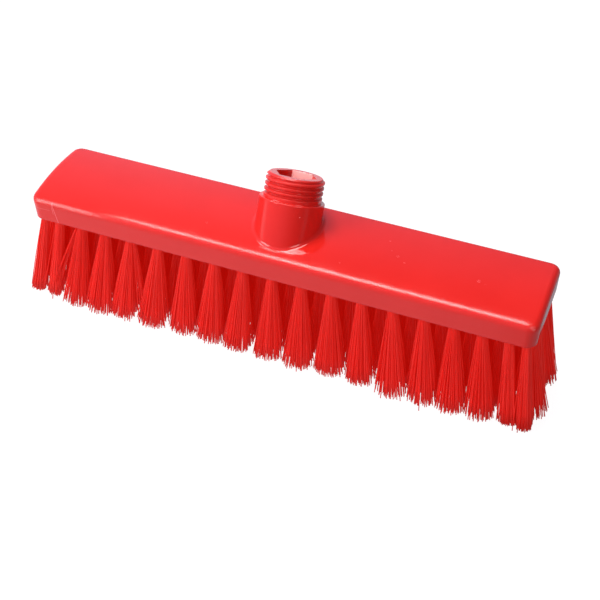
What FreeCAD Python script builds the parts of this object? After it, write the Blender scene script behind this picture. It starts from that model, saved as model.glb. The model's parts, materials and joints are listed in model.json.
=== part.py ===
import FreeCAD, Part
import math
import os

import Sketcher
from FreeCAD import Placement, Rotation, Vector

# Push broom head: one moulded block with a threaded socket that leans back, and five staggered
# rows of bristle tufts, each folded over a flat wire anchor and pulled into a blind hole.
# Millimetres. +Z up, X along the block, +Y towards the back, where the handle leans.
# The origin is the middle of the bristle tips, on the floor.

os.makedirs("parts", exist_ok=True)
doc = FreeCAD.newDocument("broom_head")

# ---------------------------------------------------------------- sizes

SIZES = [
    ("head_length", 300.0),  # block, over its widest line
    ("head_width", 56.0),
    ("edge_thickness", 13.9),  # at the long edges, before the top edge is rounded
    ("crown_rise", 2.94),  # the top is arched across its width by this much
    ("side_draft", 0.35),  # the underside is this much smaller on every side
    ("corner_radius", 6.2),
    ("top_edge_radius", 3.5),
    ("bristle_length", 60.0),  # free length, from the underside to the tips
    ("socket_tilt", 28.0),  # degrees, towards the back
    ("socket_shift", 2.3),  # where the socket axis meets the crown, behind the middle
    ("socket_run_down", 24.0),  # below the crown along the socket axis, before it is trimmed
    ("lower_end_gap", 4.0),  # from the underside up to the socket's trimmed lower end
    ("collar_diameter", 37.0),
    ("collar_height", 14.4),  # along the socket axis, from the crown to the shoulder
    ("socket_height", 28.0),  # along the socket axis, from the crown to the end face
    ("shoulder_round", 0.7),
    ("collar_foot_radius", 2.0),
    ("thread_diameter", 33.0),
    ("thread_pitch", 3.0),
    ("thread_depth", 1.35),
    ("thread_land", 0.75),  # flat left on each crest
    ("thread_root_flat", 0.5),
    ("thread_gap", 0.3),  # from the shoulder to the wide mouth of the groove's first turn
    ("groove_reach", 0.3),  # how far the groove outline stands outside the crests
    ("lead_in", 1.7),
    ("spigot_core_diameter", 16.0),
    ("spigot_sectors", 18),
    ("wall_overlap", 1.0),  # of the spigot wall into its core and into the collar
    ("hex_across_flats", 21.0),
    ("hex_depth", 25.0),
    ("tuft_hole_diameter", 5.2),
    ("tuft_hole_depth", 10.5),
    ("hole_cone_height", 1.0),  # pointed end of the hole
    ("hole_mouth_chamfer", 0.5),
    ("hole_overrun", 2.0),  # the mouth cone is carried on this far below the underside
    ("root_diameter", 5.0),  # the folded end, packed in its hole
    ("root_start", 2.4),  # above the underside, clear of the dome of the free length
    ("root_end", 9.8),
    ("root_foot_inset", 0.2),  # bevel at the root's lower end
    ("root_foot_height", 0.4),
    ("root_end_chamfer", 0.9),
    ("bend_radius", 2.2),  # dome on top of the free length, centred where it bends
    ("tip_radius", 6.5),  # how wide a tuft opens at the floor
    ("end_tip_radius", 4.7),  # the same for the closely set tufts at the ends
    ("trim_allowance", 4.0),  # extra free length, cut off at the floor
    ("row_spacing", 10.8),
    ("crosswise_fan", 1.2037),  # tip distance over root distance, across the block
    ("lengthwise_fan", 1.07),  # the same along the block
    ("anchor_width", 5.8),
    ("anchor_height", 1.8),
    ("anchor_thickness", 0.4),
    ("anchor_start", 7.0),  # along the hole, from the underside
    ("anchor_clearance", 0.02),
]
# Distances of the tufts from the middle of the block. The first, third and fifth rows have one
# tuft in the middle and nine each side, the second and fourth have nine each side.
WIDE_ROW = [17.6, 35.1, 52.7, 70.5, 88.1, 104.7, 120.1, 134.6, 144.2]
STAGGERED_ROW = [8.8, 26.4, 44.0, 61.6, 79.2, 96.2, 112.5, 128.5, 143.5]
WORDS = ["first", "second", "third", "fourth", "fifth", "sixth", "seventh", "eighth", "ninth"]
SIZES += [("wide_row_" + word, x) for word, x in zip(WORDS, WIDE_ROW)]
SIZES += [("staggered_row_" + word, x) for word, x in zip(WORDS, STAGGERED_ROW)]

# Name, steps of row spacing behind the middle, prefix of its sizes
ROWS = [
    ("front_row", -2, "wide_row_"),
    ("second_row", -1, "staggered_row_"),
    ("middle_row", 0, "wide_row_"),
    ("fourth_row", 1, "staggered_row_"),
    ("back_row", 2, "wide_row_"),
]
CENTRE_REACH = 57.0  # tufts nearer the middle than this belong to a row's centre part
TRIM_HALF_SIDE = 60  # square that trims the socket, larger than the socket all round
TRIM_DEPTH = 40

sheet = doc.addObject("Spreadsheet::Sheet", "Sizes")
for number, (alias, value) in enumerate(SIZES, 1):
    sheet.set("A%d" % number, alias)
    sheet.set("B%d" % number, "%g" % value)
    sheet.setAlias("B%d" % number, alias)
doc.recompute()


def size(alias):
    return float(sheet.get(alias))


def value_of(rule):
    """The number a rule gives, for drawing a sketch close to its final shape."""
    scratch = "Z1"
    sheet.set(scratch, "=" + rule.replace("Sizes.", ""))
    sheet.recompute()
    number = float(sheet.get(scratch))
    sheet.clear(scratch)
    return number


def require(condition, message):
    if not condition:
        raise RuntimeError(message)


# ---------------------------------------------------------------- sketches


def drive(sketch, constraint, name, rule):
    """Adds a named constraint whose value follows a rule."""
    index = sketch.addConstraint(constraint)
    sketch.renameConstraint(index, name)
    sketch.setExpression("Constraints." + name, rule)


def fix_point(sketch, geometry, end, x_rule, y_rule, tag):
    """Holds one point of a sketch at two rules; a rule of "0" puts it on the axis."""
    for letter, rule, axis in (("x", x_rule, -2), ("y", y_rule, -1)):
        if rule == "0":
            sketch.addConstraint(Sketcher.Constraint("PointOnObject", geometry, end, axis))
            continue
        place = getattr(sketch.getPoint(geometry, end), letter)
        kind = "Distance" + letter.upper()
        held = Sketcher.Constraint(kind, -1, 1, geometry, end, place)
        drive(sketch, held, "%s_%s" % (tag, letter), rule)


def join_ends(sketch, count):
    """Joins the end of each curve to the start of the next, all the way round."""
    for i in range(count):
        sketch.addConstraint(Sketcher.Constraint("Coincident", i, 2, (i + 1) % count, 1))


def polygon(sketch, corners):
    """A closed outline of straight lines through corners given as pairs of rules."""
    points = [Vector(value_of(x), value_of(y), 0) for x, y in corners]
    count = len(points)
    for i in range(count):
        sketch.addGeometry(Part.LineSegment(points[i], points[(i + 1) % count]), False)
    join_ends(sketch, count)
    for i, (x, y) in enumerate(corners):
        fix_point(sketch, i, 1, x, y, "corner_%d" % i)


# ---------------------------------------------------------------- head helpers

head = doc.addObject("PartDesign::Body", "HeadMoulding")
half_length = size("head_length") / 2
half_width = size("head_width") / 2
draft = size("side_draft")
underside = size("bristle_length")
edge_top = underside + size("edge_thickness")
rise = size("crown_rise")
crown_height = edge_top + rise
arch_radius = (half_width**2 + rise**2) / (2 * rise)
tilt = size("socket_tilt")
socket_up = Vector(0, math.sin(math.radians(tilt)), math.cos(math.radians(tilt)))
socket_foot = Vector(0, size("socket_shift"), crown_height)
# Sketches of the socket use an axis frame: across is towards the back, up is along the socket.
socket_frame = Placement(
    Vector(size("socket_shift"), crown_height, 0), Rotation(Vector(0, 0, 1), -tilt)
)


def head_sketch(name, role, offset=Placement()):
    sketch = head.newObject("Sketcher::SketchObject", name)
    plane = next(f for f in head.Origin.OriginFeatures if f.Role == role)
    sketch.AttachmentSupport = [(plane, "")]
    sketch.MapMode = "FlatFace"
    sketch.AttachmentOffset = offset
    sketch.Visibility = False
    return sketch


def head_feature(kind, name, rules, **settings):
    """Adds a feature at the body's tip, with plain settings and rules for its properties."""
    feature = head.newObject("PartDesign::" + kind, name)
    feature.Refine = False
    for setting, value in settings.items():
        setattr(feature, setting, value)
    for setting, rule in rules.items():
        feature.setExpression(setting, rule)
    # A pattern does not become the tip by itself.
    head.Tip = feature
    doc.recompute()
    return feature


def orient(feature, right_way):
    """Reverses a feature that has gone the wrong way."""
    if not right_way():
        feature.Reversed = not feature.Reversed
        doc.recompute()
    require(right_way(), feature.Name + " goes the wrong way")


def picked(kind, items, wanted):
    """Names of the wanted faces or edges of a shape."""
    return ["%s%d" % (kind, i) for i, item in enumerate(items, 1) if wanted(item)]


def round_edges(name, base, wanted, rule):
    found = picked("Edge", base.Shape.Edges, wanted)
    require(found, "no edge to round for " + name)
    base.Visibility = False
    return head_feature("Fillet", name, {"Radius": rule}, Base=(base, found))


# ---------------------------------------------------------------- socket


def add_socket():
    """Collar and spigot core turned about the leaning axis, run on down into the block."""
    core = "Sizes.spigot_core_diameter/2"
    profile = head_sketch("SocketProfile", "YZ_Plane", socket_frame)
    polygon(
        profile,
        [
            ("0", "-Sizes.socket_run_down"),
            ("Sizes.collar_diameter/2", "-Sizes.socket_run_down"),
            ("Sizes.collar_diameter/2", "Sizes.collar_height"),
            (core, "Sizes.collar_height"),
            (core, "Sizes.socket_height"),
            ("0", "Sizes.socket_height"),
        ],
    )
    return head_feature(
        "Revolution", "Socket", {},
        Profile=profile, ReferenceAxis=(profile, ["V_Axis"]), Angle=360,
    )


def add_spigot(socket):
    """Spigot wall, turned as one sector and repeated, so each crest is made of short faces."""
    inside = "Sizes.spigot_core_diameter/2-Sizes.wall_overlap"
    foot = "Sizes.collar_height-Sizes.wall_overlap"
    wall = head_sketch("SpigotWallProfile", "YZ_Plane", socket_frame)
    polygon(
        wall,
        [
            (inside, foot),
            ("Sizes.thread_diameter/2", foot),
            ("Sizes.thread_diameter/2", "Sizes.socket_height-Sizes.lead_in"),
            ("Sizes.thread_diameter/2-Sizes.lead_in", "Sizes.socket_height"),
            (inside, "Sizes.socket_height"),
        ],
    )
    sector = head_feature(
        "Revolution", "SpigotSector", {"Angle": "360/Sizes.spigot_sectors"},
        Profile=wall, ReferenceAxis=(wall, ["V_Axis"]),
    )
    spigot = head_feature(
        "PolarPattern", "Spigot", {"Occurrences": "Sizes.spigot_sectors"},
        Originals=[sector], Axis=(wall, ["V_Axis"]), Angle=360,
    )
    require(spigot.Shape.Volume > socket.Shape.Volume + 8000, "the spigot wall is not complete")
    return spigot


def trim_socket(spigot):
    """Cuts the socket's lower end level, inside the block and above the underside."""
    start = Placement(Vector(0, 0, underside + size("lower_end_gap")), Rotation())
    square = head_sketch("SocketTrim", "XY_Plane", start)
    square.setExpression("AttachmentOffset.Base.z", "Sizes.bristle_length+Sizes.lower_end_gap")
    far = str(TRIM_HALF_SIDE)
    near = "-" + far
    polygon(square, [(near, near), (far, near), (far, far), (near, far)])
    lower_end = head_feature(
        "Pocket", "SocketLowerEnd", {}, Profile=square, Type="Length", Length=TRIM_DEPTH
    )
    whole = spigot.Shape
    orient(
        lower_end,
        lambda: lower_end.Shape.Volume < whole.Volume - 1
        and lower_end.Shape.CenterOfGravity.z > whole.CenterOfGravity.z + 1,
    )


# ---------------------------------------------------------------- block


def add_block():
    """Cross-section with drafted long sides and an arched top, run along the length."""
    section = head_sketch("BlockSection", "YZ_Plane")
    left_foot = Vector(-half_width + draft, underside, 0)
    right_foot = Vector(half_width - draft, underside, 0)
    left_top = Vector(-half_width, edge_top, 0)
    right_top = Vector(half_width, edge_top, 0)
    arch = Part.Circle(Vector(0, crown_height - arch_radius, 0), Vector(0, 0, 1), arch_radius)
    spread = math.asin(half_width / arch_radius)
    section.addGeometry(Part.LineSegment(left_foot, right_foot))
    section.addGeometry(Part.LineSegment(right_foot, right_top))
    section.addGeometry(Part.ArcOfCircle(arch, math.pi / 2 - spread, math.pi / 2 + spread))
    section.addGeometry(Part.LineSegment(left_top, left_foot))
    join_ends(section, 4)
    section.addConstraint(Sketcher.Constraint("PointOnObject", 2, 3, -2))
    foot = "Sizes.head_width/2-Sizes.side_draft"
    top = "Sizes.bristle_length+Sizes.edge_thickness"
    fix_point(section, 0, 1, "-(%s)" % foot, "Sizes.bristle_length", "left_foot")
    fix_point(section, 0, 2, foot, "Sizes.bristle_length", "right_foot")
    fix_point(section, 1, 2, "Sizes.head_width/2", top, "right_top")
    drive(
        section,
        Sketcher.Constraint("DistanceX", -1, 1, 3, 1, -half_width),
        "left_top_x",
        "-Sizes.head_width/2",
    )
    drive(
        section,
        Sketcher.Constraint("Radius", 2, arch_radius),
        "arch_radius",
        "((Sizes.head_width/2)^2+Sizes.crown_rise^2)/(2*Sizes.crown_rise)",
    )
    block = head_feature(
        "Pad", "Block", {"Length": "Sizes.head_length-2*Sizes.side_draft"},
        Profile=section, Type="Length", Midplane=True,
    )
    require(block.Shape.Volume > 200000, "the block was not added")
    return block


def draft_ends(block):
    """Leans both ends outwards from the underside, like the long sides."""

    def end_face(face):
        box = face.BoundBox
        return box.XLength < 0.01 and abs(abs(box.XMin) - (half_length - draft)) < 0.05

    def bottom_face(face):
        box = face.BoundBox
        return box.ZLength < 0.01 and abs(box.ZMin - underside) < 0.01

    block_faces = block.Shape.Faces
    ends = head_feature(
        "Draft", "EndDraft", {"Angle": "atan(Sizes.side_draft/Sizes.edge_thickness)"},
        Base=(block, picked("Face", block_faces, end_face)),
        NeutralPlane=(block, picked("Face", block_faces, bottom_face)[:1]),
    )
    orient(ends, lambda: ends.Shape.BoundBox.XMax > block.Shape.BoundBox.XMax + 0.2)
    return ends


def round_head(ends):
    """Rounds the upright corners, the top rim, the collar's foot and its shoulder."""

    def upright_corner(edge):
        middle = edge.valueAt((edge.FirstParameter + edge.LastParameter) / 2)
        at_corner = abs(middle.x) > half_length - 1.5 and abs(middle.y) > half_width - 1.5
        return at_corner and edge.BoundBox.ZLength > 10

    def crown_face(shape):
        found = [
            face
            for face in shape.Faces
            if isinstance(face.Surface, Part.Cylinder)
            and abs(face.Surface.Radius - arch_radius) < 0.5
        ]
        return max(found, key=lambda face: face.Area)

    def one_of(chosen):
        return lambda edge: any(edge.isSame(other) for other in chosen)

    def shoulder_edge(edge):
        if not isinstance(edge.Curve, Part.Circle):
            return False
        height = (edge.Curve.Center - socket_foot).dot(socket_up)
        return (
            abs(edge.Curve.Radius - size("collar_diameter") / 2) < 0.01
            and abs(height - size("collar_height")) < 0.01
        )

    corners = round_edges("Corners", ends, upright_corner, "Sizes.corner_radius")
    rim_edges = crown_face(corners.Shape).OuterWire.Edges
    rim = round_edges("TopRim", corners, one_of(rim_edges), "Sizes.top_edge_radius")
    crown = crown_face(rim.Shape)
    outer = crown.OuterWire
    foot_edges = [edge for w in crown.Wires if not w.isSame(outer) for edge in w.Edges]
    foot = round_edges("CollarFoot", rim, one_of(foot_edges), "Sizes.collar_foot_radius")
    return round_edges("Shoulder", foot, shoulder_edge, "Sizes.shoulder_round")


# ---------------------------------------------------------------- thread and bore


def cut_thread(base):
    """External right-hand thread: a helical groove cut into the spigot."""
    flank = "(Sizes.thread_pitch-Sizes.thread_land-Sizes.thread_root_flat)/2"
    slope = "(%s/Sizes.thread_depth*(Sizes.thread_depth+Sizes.groove_reach))" % flank
    middle = (
        "(Sizes.collar_height+(Sizes.thread_pitch-Sizes.thread_land)/2+Sizes.thread_gap)"
    )
    outside = "Sizes.thread_diameter/2+Sizes.groove_reach"
    inside = "Sizes.thread_diameter/2-Sizes.thread_depth"
    lower = middle + "-Sizes.thread_root_flat/2"
    upper = middle + "+Sizes.thread_root_flat/2"
    groove = head_sketch("ThreadGroove", "YZ_Plane", socket_frame)
    polygon(
        groove,
        [
            (inside, lower),
            (outside, lower + "-" + slope),
            (outside, upper + "+" + slope),
            (inside, upper),
        ],
    )
    thread = head_feature(
        "SubtractiveHelix", "Thread",
        {
            "Pitch": "Sizes.thread_pitch",
            "Height": "Sizes.socket_height-Sizes.collar_height+Sizes.thread_pitch*0.5",
        },
        Profile=groove,
        ReferenceAxis=(groove, ["V_Axis"]),
        Mode=0,  # by pitch and height
        LeftHanded=False,
    )
    removed = base.Shape.Volume - thread.Shape.Volume
    require(removed >= 200, "the thread groove removed too little")
    return thread


def cut_bore(base):
    """Hexagonal bore down the socket from its end face, with two corners on the X axis."""
    top = Placement(
        socket_foot + socket_up * size("socket_height"), Rotation(Vector(1, 0, 0), -tilt)
    )
    hexagon = head_sketch("HexBore", "XY_Plane", top)
    flat = "Sizes.hex_across_flats/2"
    point = "Sizes.hex_across_flats/%.9f" % math.sqrt(3)
    half_side = "Sizes.hex_across_flats/%.9f" % (2 * math.sqrt(3))
    polygon(
        hexagon,
        [
            (point, "0"),
            (half_side, flat),
            ("-" + half_side, flat),
            ("-" + point, "0"),
            ("-" + half_side, "-" + flat),
            (half_side, "-" + flat),
        ],
    )
    bore = head_feature(
        "Pocket", "Bore", {"Length": "Sizes.hex_depth"}, Profile=hexagon, Type="Length"
    )
    orient(bore, lambda: bore.Shape.Volume < base.Shape.Volume - 1000)


trim_socket(add_spigot(add_socket()))
cut_bore(cut_thread(round_head(draft_ends(add_block()))))

# ---------------------------------------------------------------- tuft outlines

# Each outline is turned about its own upright axis. Zero is where the tuft leaves the underside.


def plain_sketch(name):
    sketch = doc.addObject("Sketcher::SketchObject", name)
    sketch.Visibility = False
    return sketch


def free_length_outline(name, tip):
    """A dome where the tuft bends and a cone that opens towards the floor."""
    sketch = plain_sketch(name)
    bend = size("bend_radius")
    drop_rule = "(Sizes.bristle_length+Sizes.trim_allowance)"
    opening_rule = (
        "(Sizes.bend_radius+(Sizes.%s-Sizes.bend_radius)*%s/Sizes.bristle_length)"
        % (tip, drop_rule)
    )
    drop = size("bristle_length") + size("trim_allowance")
    opening = value_of(opening_rule)
    slant = math.atan((opening - bend) / drop)
    dome = Part.Circle(Vector(0, 0, 0), Vector(0, 0, 1), bend)
    dome_edge = Vector(bend * math.cos(slant), bend * math.sin(slant), 0)
    axis_foot = Vector(0, -drop, 0)
    cone_foot = Vector(opening, -drop, 0)
    sketch.addGeometry(Part.ArcOfCircle(dome, slant, math.pi / 2))
    sketch.addGeometry(Part.LineSegment(Vector(0, bend, 0), axis_foot))
    sketch.addGeometry(Part.LineSegment(axis_foot, cone_foot))
    sketch.addGeometry(Part.LineSegment(cone_foot, dome_edge))
    for constraint in (
        ("Coincident", 0, 3, -1, 1),
        ("Coincident", 0, 2, 1, 1),
        ("Coincident", 1, 2, 2, 1),
        ("Coincident", 2, 2, 3, 1),
        ("Tangent", 3, 2, 0, 1),
        ("PointOnObject", 0, 2, -2),
    ):
        sketch.addConstraint(Sketcher.Constraint(*constraint))
    drive(sketch, Sketcher.Constraint("Radius", 0, bend), "dome", "Sizes.bend_radius")
    fix_point(sketch, 1, 2, "0", "-" + drop_rule, "axis_foot")
    fix_point(sketch, 2, 2, opening_rule, "-" + drop_rule, "opening")
    return sketch


free_outline = free_length_outline("FreeLengthOutline", "tip_radius")
end_outline = free_length_outline("EndFreeLengthOutline", "end_tip_radius")

root_outline = plain_sketch("RootOutline")
polygon(
    root_outline,
    [
        ("0", "Sizes.root_start"),
        ("Sizes.root_diameter/2-Sizes.root_foot_inset", "Sizes.root_start"),
        ("Sizes.root_diameter/2", "Sizes.root_start+Sizes.root_foot_height"),
        ("Sizes.root_diameter/2", "Sizes.root_end-Sizes.root_end_chamfer"),
        ("Sizes.root_diameter/2-Sizes.root_end_chamfer", "Sizes.root_end"),
        ("0", "Sizes.root_end"),
    ],
)

hole_radius = "Sizes.tuft_hole_diameter/2"
hole_outline = plain_sketch("HoleOutline")
polygon(
    hole_outline,
    [
        ("0", "-Sizes.hole_overrun"),
        (hole_radius + "+Sizes.hole_mouth_chamfer+Sizes.hole_overrun", "-Sizes.hole_overrun"),
        (hole_radius, "Sizes.hole_mouth_chamfer"),
        (hole_radius, "Sizes.tuft_hole_depth-Sizes.hole_cone_height"),
        ("0", "Sizes.tuft_hole_depth"),
    ],
)
doc.recompute()

# ---------------------------------------------------------------- tuft solids


def turned(name, outline, where):
    solid = doc.addObject("Part::Revolution", name)
    solid.Source = outline
    solid.Axis = Vector(0, 1, 0)
    solid.Base = Vector(0, 0, 0)
    solid.Angle = 360
    solid.Solid = True
    solid.Placement = where
    solid.Visibility = False
    return solid


def plate(name, where, extra_alias=None):
    """A flat piece of wire centred across a tuft, larger all round by an extra size."""
    extra = size(extra_alias) if extra_alias else 0
    allowance = "+2*Sizes." + extra_alias if extra_alias else ""
    solid = doc.addObject("Part::Box", name)
    solid.setExpression("Length", "Sizes.anchor_width" + allowance)
    solid.setExpression("Width", "Sizes.anchor_height" + allowance)
    solid.setExpression("Height", "Sizes.anchor_thickness" + allowance)
    corner = Vector(
        -(size("anchor_width") / 2 + extra),
        size("anchor_start") - extra,
        -(size("anchor_thickness") / 2 + extra),
    )
    solid.Placement = Placement(where.multVec(corner), where.Rotation)
    solid.Visibility = False
    return solid


def gather(name, members):
    group = doc.addObject("Part::Compound", name)
    group.Links = members
    group.Visibility = False
    return group


def cut_from(name, label, base, tool):
    result = doc.addObject("Part::Cut", name)
    result.Label = label
    result.Base = base
    result.Tool = tool
    base.Visibility = False
    tool.Visibility = False
    return result


def tuft_frame(x, y):
    """Frame of a tuft where it bends: Y up along the tuft, X along the block, square to it."""
    bend_at = Vector(x, y, size("bristle_length"))
    tip = Vector(x * size("lengthwise_fan"), y * size("crosswise_fan"), 0)
    up = bend_at - tip
    up.normalize()
    across = Vector(1, 0, 0) - up * up.x
    across.normalize()
    return Placement(bend_at, Rotation(across, up, across.cross(up), "XYZ"))


floor = doc.addObject("Part::Box", "BelowFloor")
floor.Length, floor.Width, floor.Height = 400, 160, 30
floor.Placement = Placement(Vector(-200, -80, -30), Rotation())
floor.Visibility = False


def build_row(row, step, stops):
    """One row of tufts. Returns its finished pieces, its holes and its anchor slots."""
    is_wide = stops == "wide_row_"
    places = [size(stops + word) for word in WORDS]
    along = [-x for x in reversed(places)] + ([0.0] if is_wide else []) + places
    y = step * size("row_spacing")
    sections = {"left": [], "centre": [], "right": []}
    roots, holes, anchors, slots = [], [], [], []
    for i, x in enumerate(along):
        where = tuft_frame(x, y)
        tag = "%s_%02d" % (row, i + 1)
        # The two tufts at each end of a wide row open less.
        near_end = is_wide and (i < 2 or i >= len(along) - 2)
        section = "centre" if abs(x) < CENTRE_REACH else "left" if x < 0 else "right"
        outline = end_outline if near_end else free_outline
        sections[section].append(turned("free_" + tag, outline, where))
        roots.append(turned("root_" + tag, root_outline, where))
        holes.append(turned("hole_" + tag, hole_outline, where))
        anchors.append(plate("anchor_" + tag, where))
        slots.append(plate("slot_" + tag, where, "anchor_clearance"))

    pieces = []
    for section, members in sections.items():
        label = "%s_%s_tufts" % (row, section)
        uncut = gather(label + "_uncut", members)
        pieces.append(cut_from(label + "_trimmed", label, uncut, floor))
    row_slots = gather(row + "_slots", slots)
    whole_roots = gather(row + "_roots_whole", roots)
    pieces.append(cut_from(row + "_roots_slotted", row + "_roots", whole_roots, row_slots))
    anchor_set = gather(row + "_anchor_set", anchors)
    anchor_set.Label = row + "_anchors"
    pieces.append(anchor_set)
    return pieces, holes, row_slots


tuft_parts, all_holes, all_slots = [], [], []
for row, step, stops in ROWS:
    pieces, holes, row_slots = build_row(row, step, stops)
    tuft_parts += pieces
    all_holes += holes
    all_slots.append(row_slots)

drilled = cut_from("HeadDrilled", "HeadDrilled", head, gather("TuftHoles", all_holes))
finished = cut_from("HeadFinished", "head_block", drilled, gather("AnchorSlots", all_slots))
parts = [finished] + tuft_parts
doc.recompute()

# ---------------------------------------------------------------- files

for item in doc.Objects:
    if "Invalid" in item.State or "Error" in item.State:
        raise RuntimeError("%s is %s" % (item.Name, item.State))
for item in parts:
    shape = item.Shape
    usable = not shape.isNull() and shape.isValid() and shape.Volume > 0
    require(usable, item.Label + " has no valid shape")
for item in parts:
    item.Shape.exportStep("parts/%s.step" % item.Label)
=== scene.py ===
"""A red push-broom head: a moulded block with a socket on top and five rows of bristle tufts.

The block runs along X, the rows follow one another from the front (-Y) to the back (+Y), and
the tips rest on the floor at z = 0. Each row of bristles swings on a joint at the underside.
"""

import json
import math
from functools import reduce

import bmesh
import bpy
import numpy as np
from mathutils import Matrix, Vector


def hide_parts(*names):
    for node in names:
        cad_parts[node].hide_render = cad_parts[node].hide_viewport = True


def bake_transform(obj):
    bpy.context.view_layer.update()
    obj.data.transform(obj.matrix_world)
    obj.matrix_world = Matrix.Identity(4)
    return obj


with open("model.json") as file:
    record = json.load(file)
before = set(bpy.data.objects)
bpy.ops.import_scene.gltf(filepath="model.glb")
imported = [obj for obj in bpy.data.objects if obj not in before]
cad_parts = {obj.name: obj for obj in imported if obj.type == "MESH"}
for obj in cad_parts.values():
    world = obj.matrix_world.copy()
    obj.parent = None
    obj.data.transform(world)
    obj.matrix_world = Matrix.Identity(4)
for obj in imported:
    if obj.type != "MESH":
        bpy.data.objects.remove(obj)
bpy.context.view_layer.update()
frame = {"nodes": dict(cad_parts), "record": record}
MM = 0.001

joints = frame["record"]["behaviour"]["joints"]
joint_y = {joint["child"]: joint["pos_m"][1] for joint in joints}
underside = joints[0]["pos_m"][2]

# Row in the frame and the body it bends with, front to back.
ROWS = [
    ("front_row", "front_bristles"),
    ("second_row", "second_bristles"),
    ("middle_row", "middle_bristles"),
    ("fourth_row", "fourth_bristles"),
    ("back_row", "back_bristles"),
]
PARTS = ("left", "centre", "right")


# ---------------------------------------------------------------- shader building


class Shader:
    """Adds nodes to the tree of a material or a world."""

    def __init__(self, owner):
        owner.use_nodes = True
        self.tree = owner.node_tree

    def find(self, kind):
        return next(node for node in self.tree.nodes if node.type == kind)

    def feed(self, node, inputs):
        """Link or set each input, by its name or index."""
        for name, value in inputs.items():
            if isinstance(value, bpy.types.NodeSocket):
                self.tree.links.new(value, node.inputs[name])
            else:
                node.inputs[name].default_value = value

    def add(self, kind, inputs=None, **settings):
        node = self.tree.nodes.new("ShaderNode" + kind)
        for name, value in settings.items():
            setattr(node, name, value)
        self.feed(node, inputs or {})
        return node

    def split(self, vector):
        return self.add("SeparateXYZ", {"Vector": vector}).outputs

    def noise(self, vector, scale, detail=2):
        inputs = {"Scale": scale, "Detail": detail, "Vector": vector}
        return self.add("TexNoise", inputs).outputs["Fac"]

    def calc(self, kind, *values):
        return self.add("Math", dict(enumerate(values)), operation=kind).outputs[0]

    def fold(self, kind, *values):
        """Combine any number of values, two at a time from the left."""
        return reduce(lambda so_far, value: self.calc(kind, so_far, value), values)

    def remap(self, value, from_min=0, from_max=1, to_min=0, to_max=1):
        inputs = {
            "From Min": from_min,
            "From Max": from_max,
            "To Min": to_min,
            "To Max": to_max,
            "Value": value,
        }
        return self.add("MapRange", inputs).outputs["Result"]

    def inside(self, value, low, high, soft):
        """1 between low and high, falling to 0 over the soft width."""
        middle, half = (low + high) / 2, (high - low) / 2
        away = self.calc("ABSOLUTE", self.calc("SUBTRACT", value, middle), 0.0)
        return self.remap(away, from_min=half, from_max=half + soft, to_min=1, to_max=0)

    def ramp(self, factor, stops):
        """Colour ramp through (place, colour) stops."""
        node = self.add("ValToRGB", {"Fac": factor})
        elements = node.color_ramp.elements
        for element, (place, colour) in zip(elements, (stops[0], stops[-1])):
            element.position = place
            element.color = colour
        for place, colour in stops[1:-1]:
            elements.new(place).color = colour
        return node.outputs["Color"]

    def grey_ramp(self, value, low, high, stops):
        """Grey ramp over a value from low to high, through (value, level) stops."""
        span = self.remap(value, from_min=low, from_max=high)
        return self.ramp(
            span,
            [((at - low) / (high - low), (level, level, level, 1)) for at, level in stops],
        )

    def mix(self, a, b, factor=1.0, kind="MIX"):
        inputs = {"Factor": factor, "A": a, "B": b}
        node = self.add("Mix", inputs, data_type="RGBA", blend_type=kind)
        return node.outputs["Result"]


# ---------------------------------------------------------------- block plastic

# Scratches down the left end of the front face, in mm:
# x at SCRATCH_LEVEL, lean, width, lowest z, highest z.
SCRATCHES = [
    (-133.6, 0.16, 0.20, 59.9, 73.2),
    (-134.9, 0.05, 0.10, 66.5, 72.9),
]
SCRATCH_LEVEL = 66.0
SCRATCH_FRONT = -26.5  # the scratches show only in front of this y, in mm

# Scuffs on the crown, in mm: x, y, radius.
SCUFFS = [
    (112.0, -5.2, 1.2), (116.0, -6.5, 0.6), (38.0, -17.0, 0.6),
    (-43.0, -13.0, 0.7), (58.0, 9.0, 0.5), (66.0, -2.0, 0.9),
    (71.0, -5.5, 0.7), (61.5, 1.5, 0.5), (75.5, -9.0, 0.5),
]

# The socket's bore leans back as it rises; directions are (y, z).
BORE_AXIS = (0.46947156, 0.88294759)
BORE_FORWARD = (-BORE_AXIS[1], BORE_AXIS[0])
BORE_CENTRE = (2.3 * MM, 76.84 * MM)
# pale colour of the painted highlight on the bore's back wall, also used for its glow
BORE_HIGHLIGHT_COLOUR = (1.0, 0.44, 0.40, 1)


def scratches(shader, place, where):
    """Masks of the thin scratches: the steep ones, then a level one."""
    wander = shader.noise(place, scale=90)

    def wobble(line, amount):
        line = shader.calc("SUBTRACT", line, amount / 2)
        return shader.calc("MULTIPLY_ADD", wander, amount, line)

    masks = []
    for x, lean, width, low, high in SCRATCHES:
        offset = -(x + SCRATCH_LEVEL * lean) * MM
        line = shader.calc("MULTIPLY_ADD", where["Z"], lean, offset)
        line = wobble(shader.calc("ADD", line, where["X"]), amount=0.8 * MM)
        half = width / 2 * MM
        masks.append(shader.fold(
            "MULTIPLY",
            shader.inside(line, low=-half, high=half, soft=0.10 * MM),
            shader.inside(where["Z"], low=low * MM, high=high * MM, soft=1 * MM),
            shader.calc("LESS_THAN", where["Y"], SCRATCH_FRONT * MM),
        ))

    # the level one passes through this x and z, in mm, falling towards the left
    x, z, slope = -143, 68.2, 0.06
    strength = 0.6
    line = shader.calc("SUBTRACT", where["Z"], (z - slope * x) * MM)
    line = shader.calc("MULTIPLY_ADD", where["X"], -slope, line)
    line = wobble(line, amount=1.0 * MM)
    masks.append(shader.fold(
        "MULTIPLY",
        shader.inside(line, low=-0.06 * MM, high=0.06 * MM, soft=0.12 * MM),
        shader.inside(where["X"], low=-149 * MM, high=-137.5 * MM, soft=1 * MM),
        shader.calc("LESS_THAN", where["Y"], -23 * MM),
        strength,
    ))
    return masks


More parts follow.
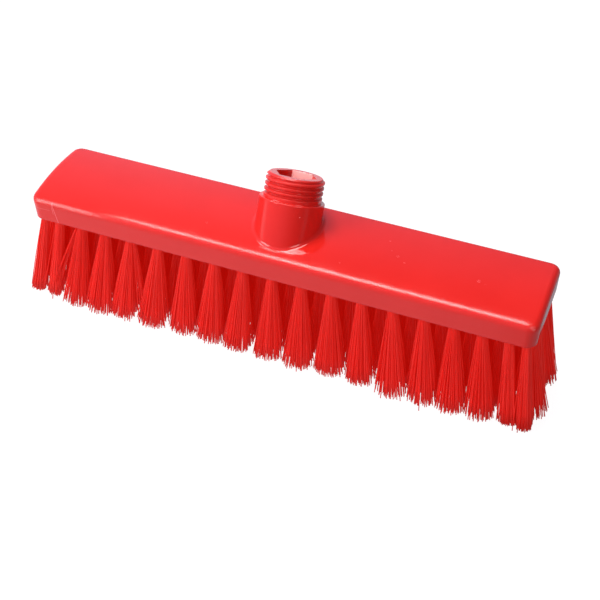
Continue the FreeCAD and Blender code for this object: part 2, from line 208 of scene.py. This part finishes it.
def spot(shader, where, centre, radius):
    """1 within the radius of a centre given as {axis: mm}."""
    squares = []
    for axis, value in centre.items():
        off = shader.calc("SUBTRACT", where[axis], value * MM)
        squares.append(shader.calc("MULTIPLY", off, off))
    return shader.calc("LESS_THAN", shader.fold("ADD", *squares), (radius * MM) ** 2)


def spots(shader, place, where):
    """Masks of the grainy scuffs on the crown and of a painted glint on the front of the collar.
    """
    crown_z, grain_cut, scuff_strength, glint_strength = 70 * MM, 0.56, 0.7, 1.6
    masks = []
    for x, y, radius in SCUFFS:
        masks.append(shader.fold(
            "MULTIPLY",
            spot(shader, where, {"X": x, "Y": y}, radius),
            shader.calc("GREATER_THAN", where["Z"], crown_z),
            shader.calc("GREATER_THAN", shader.noise(place, scale=2200), grain_cut),
            scuff_strength,
        ))
    # painted glint: a pale speck on the front of the collar where a small dimple catches the
    # light
    painted_glint = spot(shader, where, {"X": 11.2, "Y": -7.2, "Z": 91.4}, radius=0.5)
    masks.append(shader.calc("MULTIPLY", painted_glint, glint_strength))
    return masks


def component(shader, y, z, direction):
    """The part of (y, z) that lies along a direction."""
    return shader.calc(
        "ADD",
        shader.calc("MULTIPLY", y, direction[0]),
        shader.calc("MULTIPLY", z, direction[1]),
    )


def bore_wall_highlight(shader, where, facing):
    """Mask of the back wall of the hexagonal bore, which faces forward, where a pale, glowing
    painted highlight stands in for a reflection.
    """
    least_facing, half_width = 0.99, 6.2 * MM
    turned = component(shader, facing["Y"], facing["Z"], BORE_FORWARD)
    forward = component(
        shader,
        shader.calc("SUBTRACT", where["Y"], BORE_CENTRE[0]),
        shader.calc("SUBTRACT", where["Z"], BORE_CENTRE[1]),
        BORE_FORWARD,
    )
    sideways = shader.calc("ABSOLUTE", where["X"], 0.0)
    return shader.fold(
        "MULTIPLY",
        shader.calc("GREATER_THAN", turned, least_facing),
        shader.inside(forward, low=-10.6 * MM, high=-10.3 * MM, soft=0.05 * MM),
        shader.calc("LESS_THAN", sideways, half_width),
    )


def plastic_roughness(shader, place, where, facing):
    """Smudged polish, duller on the cone that leads into the thread."""
    smudge = shader.noise(place, scale=60, detail=5)
    polish = shader.remap(smudge, from_min=0.3, from_max=0.7, to_min=0.06, to_max=0.10)
    least_turn, most_turn, cone_z, extra = 0.45, 0.95, 90 * MM, 0.32
    turn = component(shader, facing["Y"], facing["Z"], BORE_AXIS)
    cone = shader.fold(
        "MULTIPLY",
        shader.calc("GREATER_THAN", turn, least_turn),
        shader.calc("LESS_THAN", turn, most_turn),
        shader.calc("GREATER_THAN", where["Z"], cone_z),
    )
    return shader.calc("MULTIPLY_ADD", cone, extra, polish)


def plastic_normal(shader, place, where):
    """Softened edges under a faint flow ripple."""
    # The front edge of the crown is eased more than the others, the collar's less.
    crown_front, crown_z, crown_extra = -20 * MM, 66 * MM, 2.6 * MM
    collar_z, collar_extra, edge_radius = 84 * MM, -0.18 * MM, 0.40 * MM
    crown = shader.calc(
        "MULTIPLY",
        shader.calc("LESS_THAN", where["Y"], crown_front),
        shader.calc("GREATER_THAN", where["Z"], crown_z),
    )
    collar = shader.calc("GREATER_THAN", where["Z"], collar_z)
    radius = shader.calc("MULTIPLY_ADD", collar, collar_extra, edge_radius)
    radius = shader.calc("MULTIPLY_ADD", crown, crown_extra, radius)
    bump = shader.add("Bump", {
        "Strength": 0.05,
        "Distance": 0.4 * MM,
        "Height": shader.noise(place, scale=150),
        "Normal": shader.add("Bevel", {"Radius": radius}, samples=4).outputs["Normal"],
    })
    return bump.outputs["Normal"]


def moulded_plastic():
    """Glossy red moulding: a faint cloud in the colour, ripple, scratches and scuffs, a painted
    glint on the collar and a pale, glowing painted highlight on the bore's back wall.
    """
    material = bpy.data.materials.new("moulded_red_plastic")
    shader = Shader(material)
    coord = shader.add("TexCoord").outputs
    place = coord["Object"]
    where = shader.split(place)
    facing = shader.split(coord["Normal"])

    cloud = shader.noise(place, scale=22, detail=3)
    colour = shader.ramp(
        cloud, [(0.3, (0.655, 0.0150, 0.0104, 1)), (0.7, (0.70, 0.0174, 0.0122, 1))]
    )
    # wear marks, together with the painted glint on the collar
    marks = scratches(shader, place, where) + spots(shader, place, where)
    marks = shader.fold("MAXIMUM", *marks)
    mark_strength, bore_highlight_strength, bore_highlight_glow = 0.55, 0.95, 0.35
    colour = shader.mix(
        colour, (0.98, 0.24, 0.25, 1), factor=shader.calc("MULTIPLY", marks, mark_strength)
    )
    # painted highlight: the bore's back wall is made pale and made to glow, standing in for a
    # reflection
    bore_highlight_mask = bore_wall_highlight(shader, where, facing)
    colour = shader.mix(
        colour, BORE_HIGHLIGHT_COLOUR, factor=shader.calc("MULTIPLY", bore_highlight_mask, bore_highlight_strength)
    )
    shader.feed(shader.find("BSDF_PRINCIPLED"), {
        "Base Color": colour,
        "Emission Color": BORE_HIGHLIGHT_COLOUR,
        "Emission Strength": shader.calc("MULTIPLY", bore_highlight_mask, bore_highlight_glow),
        "Roughness": plastic_roughness(shader, place, where, facing),
        "Normal": plastic_normal(shader, place, where),
        "IOR": 1.49,
        "Subsurface Weight": 0.06,
        "Subsurface Radius": (0.006, 0.001, 0.001),
        "Subsurface Scale": 0.5,
    })
    return material


# ---------------------------------------------------------------- filament and steel


def bristle_plastic():
    """Soft filament: each strand has its own shade, and light comes through a little."""
    material = bpy.data.materials.new("bristle_red_filament")
    shader = Shader(material)
    shade = shader.add("Attribute", attribute_name="strand_shade").outputs["Fac"]
    colour = shader.ramp(shade, [(0, (0.97, 0.036, 0.022, 1)), (1, (1.0, 0.068, 0.052, 1))])
    bsdf = shader.find("BSDF_PRINCIPLED")
    shader.feed(bsdf, {
        "Base Color": colour,
        "Roughness": 0.42,
        "IOR": 1.5,
        "Specular IOR Level": 0.4,
        # stands in for light that wanders between strands longer than a path is followed
        "Emission Color": (1.0, 0.034, 0.014, 1),
        "Emission Strength": 0.128,
    })
    glow = shader.add("BsdfTranslucent", {"Color": colour})
    both = shader.add("MixShader", {"Fac": 0.5, 1: bsdf.outputs["BSDF"], 2: glow.outputs["BSDF"]})
    shader.feed(shader.find("OUTPUT_MATERIAL"), {"Surface": both.outputs["Shader"]})
    return material


def anchor_steel():
    """Bare steel with a fine, uneven polish."""
    material = bpy.data.materials.new("anchor_steel")
    shader = Shader(material)
    grain = shader.noise(shader.add("TexCoord").outputs["Object"], scale=900)
    shader.feed(shader.find("BSDF_PRINCIPLED"), {
        "Roughness": shader.remap(grain, to_min=0.25, to_max=0.5),
        "Base Color": (0.56, 0.55, 0.53, 1),
        "Metallic": 1.0,
    })
    return material


plastic = moulded_plastic()
filament = bristle_plastic()
steel = anchor_steel()


def paint(piece, material):
    """Give a piece of the frame its only material."""
    piece.data.materials.clear()
    piece.data.materials.append(material)


# ---------------------------------------------------------------- tuft solids in the frame

WELD = 2e-6  # points that round to the same place at this step are one


def islands(node):
    """Each separate solid of a CAD node as an array of its points, in metres."""
    mesh = frame["nodes"][node].data
    points = np.empty(len(mesh.vertices) * 3, np.float32)
    mesh.vertices.foreach_get("co", points)
    points = points.reshape(-1, 3).astype(float)
    # weld first, so that split normals don't part a solid
    places, welded = np.unique(
        np.round(points / WELD).astype(np.int64), axis=0, return_inverse=True
    )
    welded = np.asarray(welded).ravel()
    root = np.arange(len(places))

    def find(i):
        while root[i] != i:
            root[i] = root[root[i]]
            i = root[i]
        return i

    edges = np.empty(len(mesh.edges) * 2, np.int32)
    mesh.edges.foreach_get("vertices", edges)
    for start, end in welded[edges.reshape(-1, 2)]:
        start_root, end_root = find(start), find(end)
        if start_root != end_root:
            root[start_root] = end_root
    group = np.array([find(i) for i in range(len(places))])[welded]
    return [points[group == label] for label in np.unique(group)]


# ---------------------------------------------------------------- filaments

FOLDED = 96  # folded filaments in a tuft, each with two legs
SIDES = 3
FILAMENT_RADIUS = 0.205 * MM
TIP_FLARE = 1.6  # filament radius at the tip over that at the root
TIP_ROUNDING = 0.9
ROOT_RADIUS = 2.15 * MM  # of the tuft where it leaves the block
GOLDEN_ANGLE = 2.39996323

STATIONS = np.array([0.0, 0.14, 0.36, 0.60, 0.82, 1.0])  # along a leg's free length
SPREAD_POWER = 0.97

# A filament's fold over the anchor, inside the hole:
# height above the underside, share of its root's offset, share of its own rise.
FOLD_FOOT = 4.0 * MM
FOLD_TOP = 8.9 * MM
FOLD = [
    (FOLD_FOOT, 1.0, 0.0),
    (FOLD_TOP, 1.0, 0.0),
    (FOLD_TOP, 0.6, 0.85),
    (FOLD_TOP, -0.6, 0.85),
    (FOLD_TOP, -1.0, 0.0),
    (FOLD_FOOT, -1.0, 0.0),
]
LEAST_RISE = 0.25 * MM
EXTRA_RISE = 1.14 * MM  # for a filament rooted at the full radius


def half_disc(count, radius):
    """Places for one leg of each folded filament, on the back side of the anchor."""
    places = []
    total = count * 2 + 2
    i = 0
    while len(places) < count:
        out = radius * math.sqrt((i + 0.5) / total)
        angle = i * GOLDEN_ANGLE
        x, y = math.cos(angle) * out, math.sin(angle) * out
        if y > 0.02 * radius:
            places.append((x, max(y, 0.20 * radius)))
        i += 1
    return np.array(places)


LEGS = half_disc(FOLDED, ROOT_RADIUS)


def tuft_paths(bend_at, tip, tip_radius, seed, lean, astray):
    """Centre lines of a tuft's folded filaments, as an array of filaments x points x 3."""
    rng = np.random.default_rng(seed)
    drop = tip - bend_at
    length = np.linalg.norm(drop)
    down = drop / length
    # directions square to the tuft: along the row, and towards the back
    along = np.array([1.0, 0, 0]) - down * down[0]
    along /= np.linalg.norm(along)
    across = np.cross(down, along)
    if across[1] < 0:
        across = -across

    # A tuft as a whole leans, opens, slopes at its tips and twists in its own way.
    sway = rng.normal(0, 0.50 * MM, 2) + [lean, 0]
    openness = rng.uniform(0.89, 1.05)
    slope = rng.normal(0, 1, 2)
    slope *= rng.uniform(0.1, 0.55) * MM / np.linalg.norm(slope)
    twist = rng.normal(0, 0.10)
    cosine, sine = math.cos(twist), math.sin(twist)

    def leg(side):
        """One leg of every filament, root to tip; side 1 is the back, -1 the front."""
        root = LEGS * [1, side]
        count = len(root)
        reach = root / ROOT_RADIUS @ np.array([[cosine, sine], [-sine, cosine]])
        spread = rng.uniform(0.88, 1.02, (count, 1))
        # neighbours press on each other: an open tuft is wider along its row, and squarish
        wide = 1.12 if tip_radius > 7 * MM else 1.0
        square = 1 + 0.16 * reach[:, ::-1] ** 2
        end = reach * square * [wide, 1.0] * tip_radius * openness * spread
        end += rng.normal(0, 0.32 * MM, (count, 2)) + sway
        stray = rng.random(count) < 0.05
        end[stray] += rng.normal(0, 1.5 * MM, (stray.sum(), 2))
        if astray:
            # the outermost filaments on that side splay further out
            outer = np.argsort(reach[:, 0] * math.copysign(1, -astray))[: count // 11]
            end[outer, 0] += astray * rng.uniform(0.6, 1.15, len(outer))
        bow = rng.normal(0, 0.28 * MM, (count, 2))
        cut = np.abs(rng.normal(0, 0.3 * MM, count)) + reach @ slope + np.linalg.norm(slope)
        short = rng.random(count) < 0.04
        cut[short] += rng.uniform(0.5 * MM, 2.0 * MM, short.sum())

        opened = STATIONS**SPREAD_POWER
        bowed = np.sin(math.pi * STATIONS) * STATIONS
        plan = (
            root[:, None, :] * (1 - opened)[None, :, None]
            + end[:, None, :] * opened[None, :, None]
            + bow[:, None, :] * bowed[None, :, None]
        )
        # the tufts are trimmed level with the floor
        tip_z = bend_at[2] + down[2] * length + end[:, 0] * along[2] + end[:, 1] * across[2]
        cut = cut + np.maximum(-tip_z, 0) / abs(down[2])
        span = (length - cut[:, None]) * STATIONS[None, :]
        return (
            bend_at
            + down * span[:, :, None]
            + plan[:, :, :1] * along
            + plan[:, :, 1:] * across
        )

    back_leg = leg(1)
    front_leg = leg(-1)
    offset = LEGS[:, 1]
    rise = LEAST_RISE + EXTRA_RISE * (offset / ROOT_RADIUS)
    fold = [
        bend_at
        - down * (height + rise * rise_share)[:, None]
        + LEGS[:, :1] * along
        + (offset * offset_share)[:, None] * across
        for height, offset_share, rise_share in FOLD
    ]
    return np.concatenate([back_leg[:, ::-1], np.stack(fold, axis=1), front_leg], axis=1)


def tubes(paths):
    """Thin tubes along paths: returns points, side quads and end caps."""
    count, stations, _ = paths.shape
    tangent = np.gradient(paths, axis=1)
    tangent /= np.linalg.norm(tangent, axis=2, keepdims=True)
    side = np.tile(np.array([1.0, 0.0, 0.0]), (count, 1))
    frames = np.empty((count, stations, 2, 3))
    for i in range(stations):
        side = side - (side * tangent[:, i]).sum(1, keepdims=True) * tangent[:, i]
        side /= np.linalg.norm(side, axis=1, keepdims=True)
        frames[:, i, 0] = side
        frames[:, i, 1] = np.cross(tangent[:, i], side)

    # Ends of filament are a little frayed, so each leg thickens towards its tip.
    grow = 1 + (TIP_FLARE - 1) * np.linspace(0, 1, len(STATIONS))
    profile = np.concatenate([grow[::-1], np.ones(len(FOLD)), grow])
    profile[0] = profile[-1] = TIP_ROUNDING * TIP_FLARE
    ring = np.arange(SIDES) * 2 * math.pi / SIDES
    points = (
        paths[:, :, None, :]
        + FILAMENT_RADIUS
        * profile[None, :, None, None]
        * (
            np.cos(ring)[None, None, :, None] * frames[:, :, None, 0]
            + np.sin(ring)[None, None, :, None] * frames[:, :, None, 1]
        )
    )
    index = np.arange(count * stations * SIDES).reshape(count, stations, SIDES)
    after = np.roll(index, -1, axis=2)
    quads = np.stack([index[:, :-1], after[:, :-1], after[:, 1:], index[:, 1:]], axis=-1)
    caps = np.concatenate([index[:, 0, ::-1], index[:, -1]], axis=0)
    return points.reshape(-1, 3), quads.reshape(-1, 4), caps


def mesh_from(name, points, quads, caps, shades):
    """A smooth mesh with a shade stored at each point."""
    mesh = bpy.data.meshes.new(name)
    corners = np.concatenate([quads.ravel(), caps.ravel()])
    starts = np.concatenate(
        [np.arange(len(quads)) * 4, quads.size + np.arange(len(caps)) * caps.shape[1]]
    )
    mesh.vertices.add(len(points))
    mesh.vertices.foreach_set("co", points.astype(np.float32).ravel())
    mesh.loops.add(len(corners))
    mesh.loops.foreach_set("vertex_index", corners.astype(np.int32))
    mesh.polygons.add(len(starts))
    mesh.polygons.foreach_set("loop_start", starts.astype(np.int32))
    mesh.update(calc_edges=True)
    mesh.polygons.foreach_set("use_smooth", np.ones(len(starts), bool))
    shade = mesh.attributes.new("strand_shade", "FLOAT", "POINT")
    shade.data.foreach_set("value", shades.astype(np.float32))
    mesh.validate()
    mesh.update()
    return mesh


# ---------------------------------------------------------------- rows of bristles

FLOOR_BAND = 1e-5  # points of a solid below this z belong to its tip
DOME_BAND = 0.4 * MM  # points this near its top belong to its dome
# All tufts are swept to the left, by more beyond SWEEP_FROM and most at the right end.
SWEEP, EXTRA_SWEEP, FIRST_SWEEP = 1.6, 1.4, 1.2 * MM
SWEEP_FROM = 0.08
OPEN_TUFT = 5.5 * MM  # a solid with a wider tip than this is an open tuft
OPEN_WIDEN, CLOSE_WIDEN = 1.30, 1.08
# (row, tuft from the left): how far its outermost filaments go astray along X.
ASTRAY = {(0, 2): -8.5 * MM, (0, 4): 5.5 * MM}


def tuft(number, k, solid, row_y):
    """Filament paths of tuft k, counted from the left, read off its solid."""
    low = solid[solid[:, 2] < FLOOR_BAND]
    dome = solid[solid[:, 2] > solid[:, 2].max() - DOME_BAND].mean(0)
    least, most = low.min(0), low.max(0)
    tip = np.array([(least[0] + most[0]) / 2, (least[1] + most[1]) / 2, 0.0])
    radius = (most[1] - least[1]) / 2
    bend_x = tip[0] + (dome[0] - tip[0]) * underside / dome[2]
    lean = -(SWEEP + EXTRA_SWEEP * max(0.0, (tip[0] - SWEEP_FROM) / SWEEP_FROM)) * MM
    if k == 0:
        lean -= FIRST_SWEEP
    return tuft_paths(
        bend_at=np.array([bend_x, row_y, underside]),
        tip=tip,
        tip_radius=radius * (OPEN_WIDEN if radius > OPEN_TUFT else CLOSE_WIDEN),
        seed=1000 * number + k,
        lean=lean,
        astray=ASTRAY.get((number, k), 0.0),
    )


def bristle_row(number, row, body):
    """One row's bristles in place of its solids, and the steel of its anchors."""
    row_y = joint_y[body]
    nodes = ["%s_%s_tufts" % (row, part) for part in PARTS]
    solids = [solid for node in nodes for solid in islands(node)]
    solids.sort(key=lambda solid: solid[:, 0].mean())
    points, quads, caps, shades = [], [], [], []
    base = 0
    for k, solid in enumerate(solids):
        paths = tuft(number, k, solid, row_y)
        tuft_points, tuft_quads, tuft_caps = tubes(paths)
        points.append(tuft_points)
        quads.append(tuft_quads + base)
        caps.append(tuft_caps + base)
        base += len(tuft_points)
        rng = np.random.default_rng(90000 + 1000 * number + k)
        strand = np.clip(rng.normal(0.55, 0.2, len(paths)), 0, 1)
        shades.append(np.repeat(strand, paths.shape[1] * SIDES))

    name = "bristles_" + row
    mesh = mesh_from(name, *[np.concatenate(part) for part in (points, quads, caps, shades)])
    mesh.materials.append(filament)
    piece = bpy.data.objects.new(name, mesh)
    bpy.context.scene.collection.objects.link(piece)
    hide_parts(*nodes, row + "_roots")
    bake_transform(piece)
    paint(frame["nodes"][row + "_anchors"], steel)


for number, (row, body) in enumerate(ROWS):
    bristle_row(number, row, body)

paint(frame["nodes"]["head_block"], plastic)

# ---------------------------------------------------------------- floor

SEEN_WHITE = (0.95, 0.95, 0.95, 1)  # what the camera sees of the floor and the world


def pale_floor():
    """Near-white to the camera; to everything else it glows, brighter on the left."""
    material = bpy.data.materials.new("pale_floor")
    shader = Shader(material)
    where = shader.split(shader.add("TexCoord").outputs["Object"])
    lit = shader.grey_ramp(where["X"], low=-1.5, high=1.5, stops=[
        (-1.5, 0.75), (-0.3, 0.72), (0.11, 0.50), (0.155, 0.20), (0.6, 0.14), (1.2, 0.08),
    ])
    lit = shader.mix(lit, (1.0, 1.02, 1.15, 1), kind="MULTIPLY")
    to_camera = shader.add("LightPath").outputs["Is Camera Ray"]
    bsdf = shader.find("BSDF_PRINCIPLED")
    shader.feed(bsdf, {
        "Base Color": (0.10, 0.10, 0.10, 1),
        "Roughness": 0.8,
        "Specular IOR Level": 0.1,
        "Emission Color": shader.mix(lit, SEEN_WHITE, factor=to_camera),
        "Emission Strength": 1.0,
    })
    # From below the floor isn't there, so that the tips and the underside can be looked at.
    from_below = shader.add("NewGeometry").outputs["Backfacing"]
    either = shader.add("MixShader", {
        "Fac": shader.calc("MULTIPLY", from_below, to_camera),
        1: bsdf.outputs["BSDF"],
        2: shader.add("BsdfTransparent").outputs["BSDF"],
    })
    shader.feed(shader.find("OUTPUT_MATERIAL"), {"Surface": either.outputs["Shader"]})
    return material


def build_floor():
    mesh = bpy.data.meshes.new("floor")
    grid = bmesh.new()
    bmesh.ops.create_grid(grid, x_segments=1, y_segments=1, size=6)
    grid.to_mesh(mesh)
    grid.free()
    mesh.materials.append(pale_floor())
    floor = bpy.data.objects.new("floor", mesh)
    floor.location = (0, 0, -0.5 * MM)
    bpy.context.scene.collection.objects.link(floor)


build_floor()

# ---------------------------------------------------------------- world


def studio_world():
    """A room brighter on the left, with separate back (+Y) and front (-Y) halves."""
    world = bpy.data.worlds.new("studio")
    bpy.context.scene.world = world
    shader = Shader(world)
    toward = shader.split(shader.add("TexCoord").outputs["Generated"])

    def half(across, upward, tint):
        """Levels across X times levels up Z, tinted."""
        level = shader.mix(
            shader.grey_ramp(toward["X"], low=-1, high=1, stops=across),
            shader.grey_ramp(toward["Z"], low=0, high=1, stops=upward),
            kind="MULTIPLY",
        )
        return shader.mix(level, tint, kind="MULTIPLY")

    back = half(
        across=[(-1, 0.30), (-0.6, 0.74), (-0.4, 0.70), (-0.1, 0.34), (0.3, 0.14), (1, 0.05)],
        upward=[(0, 1.0), (0.45, 1.0), (0.66, 0.9), (0.82, 0.5), (1, 0.25)],
        tint=(0.84, 0.85, 1.16, 1),
    )
    front = half(
        across=[(-1, 0.45), (-0.5, 0.42), (0.0, 0.32), (0.35, 0.18), (0.7, 0.06)],
        upward=[(0, 1.0), (0.35, 1.0), (0.55, 1.9), (0.85, 1.8), (1, 0.7)],
        tint=(1.0, 1.02, 1.30, 1),
    )
    turn = shader.grey_ramp(toward["Y"], low=-1, high=1, stops=[(-0.25, 0.0), (0.25, 1.0)])
    around = shader.mix(front, back, factor=turn)
    to_camera = shader.add("LightPath").outputs["Is Camera Ray"]
    shader.feed(shader.find("BACKGROUND"), {
        "Color": shader.mix(around, SEEN_WHITE, factor=to_camera),
        "Strength": 1.0,
    })


studio_world()

# ---------------------------------------------------------------- lights and camera

HEAD_CENTRE = (0, 0, 0.06)
# Name, place, point it faces, width, height (m), power (W).
SOFTBOXES = [
    ("overhead_left", (-0.54, 0.325, 1.25), (-0.54, 0.325, 0), 0.28, 0.35, 4.7),
    ("overhead_right", (-0.18, 0.325, 1.25), (-0.18, 0.325, 0), 0.44, 0.35, 9.0),
    ("key", (-1.08, -0.90, 0.77), HEAD_CENTRE, 0.74, 0.74, 16.3),
    ("fill", (1.70, -1.42, 1.20), HEAD_CENTRE, 1.0, 1.0, 18.0),
]


def pose(x_axis, y_axis, z_axis, place):
    """World matrix with these axes at this place."""
    rows = [tuple(row) for row in zip(x_axis, y_axis, z_axis, place)]
    return Matrix((*rows, (0, 0, 0, 1)))


def softbox(name, place, towards, width, height, power):
    """A lit panel whose width runs as nearly along X as it can."""
    data = bpy.data.lights.new(name, "AREA")
    data.shape = "RECTANGLE"
    data.size = width
    data.size_y = height
    data.energy = power
    lamp = bpy.data.objects.new(name, data)
    away = (Vector(place) - Vector(towards)).normalized()
    along = Vector((1, 0, 0)) if abs(away.x) < 0.7 else Vector((0, -1, 0))
    along = (along - away * along.dot(away)).normalized()
    lamp.matrix_world = pose(along, away.cross(along), away, place)
    bpy.context.scene.collection.objects.link(lamp)


def build_camera():
    """Looks down on the head from the front, right of its middle."""
    data = bpy.data.cameras.new("camera")
    camera = bpy.data.objects.new("camera", data)
    bpy.context.scene.collection.objects.link(camera)
    data.sensor_width = 36
    data.lens = 69.96078
    data.clip_start = 0.01
    data.clip_end = 50
    right = Vector((0.92726, 0.37434, -0.00797)).normalized()
    back = Vector((0.27811, -0.67432, 0.68407)).normalized()
    up = back.cross(right).normalized()
    right = up.cross(back).normalized()
    camera.matrix_world = pose(right, up, back, (0.198105, -0.461666, 0.431140 + underside))
    bpy.context.scene.camera = camera


for box in SOFTBOXES:
    softbox(*box)
build_camera()
bpy.context.scene.view_settings.view_transform = "Standard"
bpy.context.scene.view_settings.look = "None"
